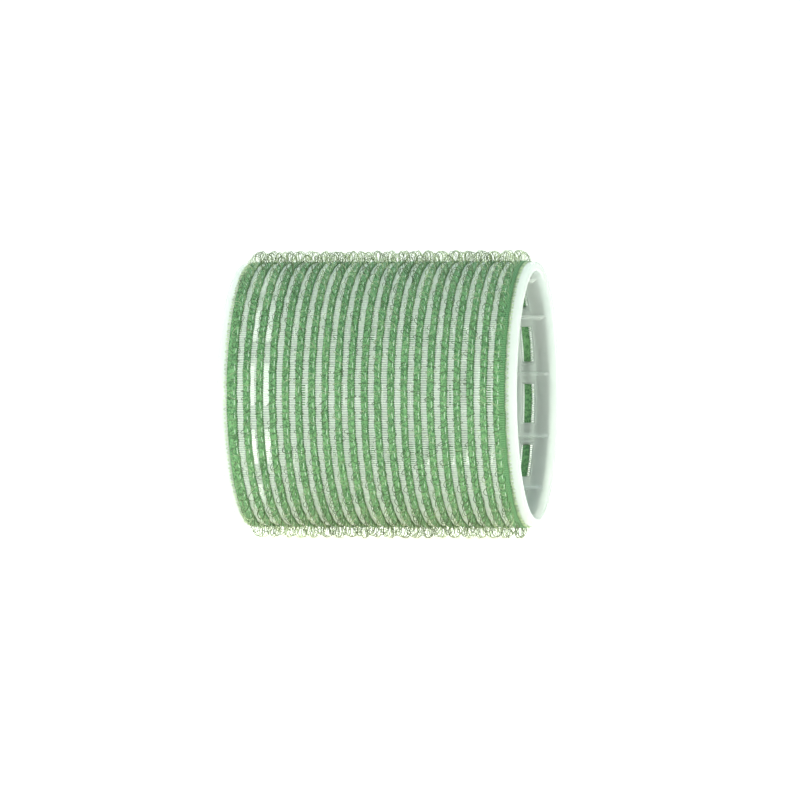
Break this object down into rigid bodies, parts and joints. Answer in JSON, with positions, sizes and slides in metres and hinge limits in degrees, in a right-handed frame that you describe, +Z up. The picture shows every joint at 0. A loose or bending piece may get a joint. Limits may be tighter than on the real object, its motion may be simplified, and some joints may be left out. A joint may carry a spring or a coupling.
{
  "type": "hair roller",
  "caption": "Self-grip hair roller: a translucent cage core, open at both ends, wrapped in a green ribbed hook tape that clings to hair.",
  "frame": {"origin": "middle of the roller, on its axis", "axes": "+X along the roller's axis, towards the right-hand rim; +Z up with the roller lying on its side"},
  "size_m": [0.063, 0.061, 0.061],
  "materials": {
    "core_plastic": "translucent natural white moulding, satin",
    "adhesive": "clear hot-melt film",
    "weft_thread": "thin green nylon thread",
    "band_thread": "woven mid-green nylon",
    "hook_filament": "clear yellow-green monofilament",
    "selvedge_thread": "pale green looped thread"
  },
  "bodies": {
    "root": {"core_cage": "core_plastic", "bond_ring_left": "adhesive", "bond_ring_right": "adhesive", "seam_weld": "adhesive", "weft_ladder": "weft_thread", "warp_band_01": "band_thread", "warp_band_02": "band_thread", "warp_band_03": "band_thread", "warp_band_04": "band_thread", "warp_band_05": "band_thread", "warp_band_06": "band_thread", "warp_band_07": "band_thread", "warp_band_08": "band_thread", "warp_band_09": "band_thread", "warp_band_10": "band_thread", "warp_band_11": "band_thread", "warp_band_12": "band_thread", "warp_band_13": "band_thread", "warp_band_14": "band_thread", "warp_band_15": "band_thread", "warp_band_16": "band_thread", "warp_band_17": "band_thread", "warp_band_18": "band_thread", "warp_band_19": "band_thread", "warp_band_20": "band_thread", "warp_band_21": "band_thread", "hook_row_01": "hook_filament", "hook_row_02": "hook_filament", "hook_row_03": "hook_filament", "hook_row_04": "hook_filament", "hook_row_05": "hook_filament", "hook_row_06": "hook_filament", "hook_row_07": "hook_filament", "hook_row_08": "hook_filament", "hook_row_09": "hook_filament", "hook_row_10": "hook_filament", "hook_row_11": "hook_filament", "hook_row_12": "hook_filament", "hook_row_13": "hook_filament", "hook_row_14": "hook_filament", "hook_row_15": "hook_filament", "hook_row_16": "hook_filament", "hook_row_17": "hook_filament", "hook_row_18": "hook_filament", "hook_row_19": "hook_filament", "hook_row_20": "hook_filament", "hook_row_21": "hook_filament", "picot_edge_left": "selvedge_thread", "picot_edge_right": "selvedge_thread"}
  },
  "joints": []
}
